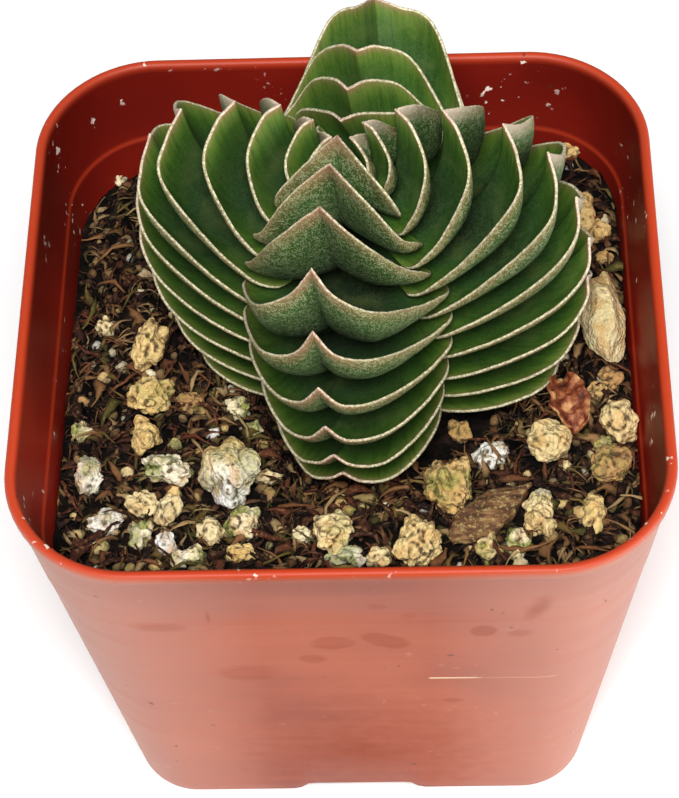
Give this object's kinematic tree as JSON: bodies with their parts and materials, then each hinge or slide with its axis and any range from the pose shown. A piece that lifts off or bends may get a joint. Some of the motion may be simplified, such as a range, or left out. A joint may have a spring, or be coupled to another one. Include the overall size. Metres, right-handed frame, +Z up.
{
  "type": "potted crassula succulent",
  "caption": "Tapered square nursery pot of gritty soil with a squat column of stacked, upturned, cream-edged succulent leaves in four ranks.",
  "frame": {"origin": "on the table, under the middle of the pot", "axes": "+Z up along the pot's height, -Y towards the pot's side that faces the viewer in the picture"},
  "size_m": [0.076, 0.076, 0.0999],
  "materials": {
    "pot_plastic": "thin injection-moulded terracotta-red plastic, satin, lightly scuffed",
    "soil_mix": "dark gritty potting mix of bark, coir and small pumice",
    "leaf": "succulent leaf, satin green inside, frosted with white papillae outside, cream margin",
    "stem": "pale green-brown fleshy stem",
    "stone_cream": "cream-yellow pumice, rough and porous",
    "stone_mossy": "pale pumice with a yellow-green stain",
    "stone_tan": "tan stone, rough",
    "bark": "dry brown bark",
    "dead_leaf": "dry, curled, reddish-brown leaf"
  },
  "bodies": {
    "root": {"pot": "pot_plastic", "soil": "soil_mix", "stem": "stem", "bud": "leaf", "leaf_front_01": "leaf", "leaf_front_02": "leaf", "leaf_front_03": "leaf", "leaf_front_04": "leaf", "leaf_front_05": "leaf", "leaf_front_06": "leaf", "leaf_front_07": "leaf", "leaf_front_08": "leaf", "leaf_front_09": "leaf", "leaf_right_01": "leaf", "leaf_right_02": "leaf", "leaf_right_03": "leaf", "leaf_right_04": "leaf", "leaf_right_05": "leaf", "leaf_right_06": "leaf", "leaf_right_07": "leaf", "leaf_right_08": "leaf", "leaf_right_09": "leaf", "leaf_right_10": "leaf", "leaf_right_11": "leaf", "leaf_back_01": "leaf", "leaf_back_02": "leaf", "leaf_back_03": "leaf", "leaf_back_04": "leaf", "leaf_back_05": "leaf", "leaf_back_06": "leaf", "leaf_back_07": "leaf", "leaf_back_08": "leaf", "leaf_back_09": "leaf", "leaf_left_01": "leaf", "leaf_left_02": "leaf", "leaf_left_03": "leaf", "leaf_left_04": "leaf", "leaf_left_05": "leaf", "leaf_left_06": "leaf", "leaf_left_07": "leaf", "leaf_left_08": "leaf", "leaf_left_09": "leaf", "leaf_left_10": "leaf", "leaf_left_11": "leaf", "stone_tan_large": "stone_tan", "stone_tan_back": "stone_tan", "stone_tan_rough": "stone_tan", "stone_left_tan": "stone_tan", "stone_white_large": "stone_mossy", "stone_left_mossy": "stone_mossy", "stone_cream_front": "stone_cream", "stone_cream_right": "stone_cream", "stone_cream_wall": "stone_cream", "stone_left_long": "stone_cream", "stone_left_cream": "stone_cream", "stone_front_left": "stone_cream", "stone_front_right": "stone_cream", "bark_chip": "bark", "dead_leaf": "dead_leaf"}
  },
  "joints": []
}
